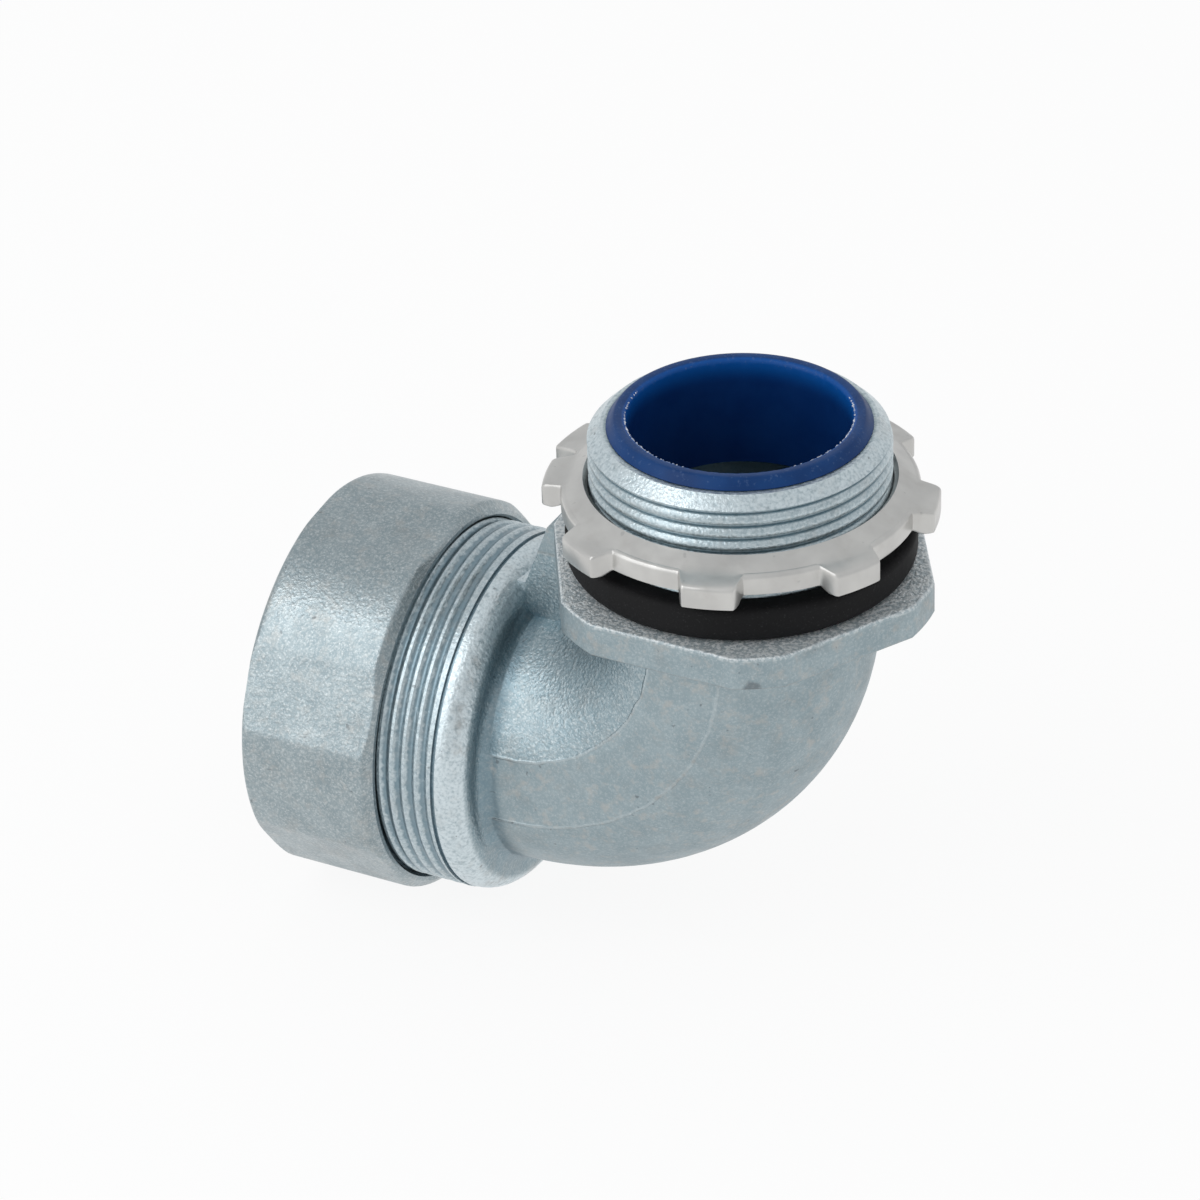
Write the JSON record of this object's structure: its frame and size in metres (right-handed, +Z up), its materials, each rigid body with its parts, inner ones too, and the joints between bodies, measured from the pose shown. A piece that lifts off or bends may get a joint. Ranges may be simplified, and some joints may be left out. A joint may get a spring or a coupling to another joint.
{
  "type": "elbow conduit connector",
  "caption": "Right-angle liquid-tight connector for flexible conduit: threaded nipple with gasket and locknut, flanged bend, and a screwed gland nut that grips the conduit.",
  "frame": {"origin": "centre of the flange's panel face, on the axis of the nipple", "axes": "+Z up the nipple, away from the flange; the conduit leaves along -X; the bend lies in the XZ plane"},
  "size_m": [0.0941, 0.0578, 0.0864],
  "materials": {
    "plated_casting": "cast iron with a bluish zinc plating, slightly sparkling",
    "plated_nut": "cast iron with a bluish zinc plating, sparkling on its flats",
    "locknut_metal": "light grey satin plating",
    "liner_plastic": "blue moulded plastic",
    "gasket_rubber": "matt black rubber",
    "ring_plastic": "off-white moulded plastic",
    "ferrule_steel": "plated pressed steel"
  },
  "bodies": {
    "connector": {"elbow_body": "plated_casting", "throat_liner": "liner_plastic", "sealing_gasket": "gasket_rubber", "conduit_ferrule": "ferrule_steel"},
    "locknut": {"locknut": "locknut_metal"},
    "gland_ring": {"sealing_ring": "ring_plastic"},
    "gland_nut": {"gland_nut": "plated_nut"}
  },
  "joints": [
    {"name": "locknut_travel", "type": "slide", "parent": "connector", "child": "locknut", "axis": [0, 0, 1], "range_m": [-0.0017, 0.0123]},
    {"name": "gland_advance", "type": "slide", "parent": "connector", "child": "gland_ring", "axis": [1, 0, 0], "range_m": [-0.00802, 0.00822]},
    {"name": "gland_nut_turn", "type": "hinge", "parent": "gland_ring", "child": "gland_nut", "pos_m": [-0.0557, 0, -0.0357], "axis": [1, 0, 0], "range_deg": [-1440, 1476]}
  ],
  "couplings": [
    {"joint": "gland_advance", "follows": "gland_nut_turn", "m_per_rad": 0.00031831}
  ]
}
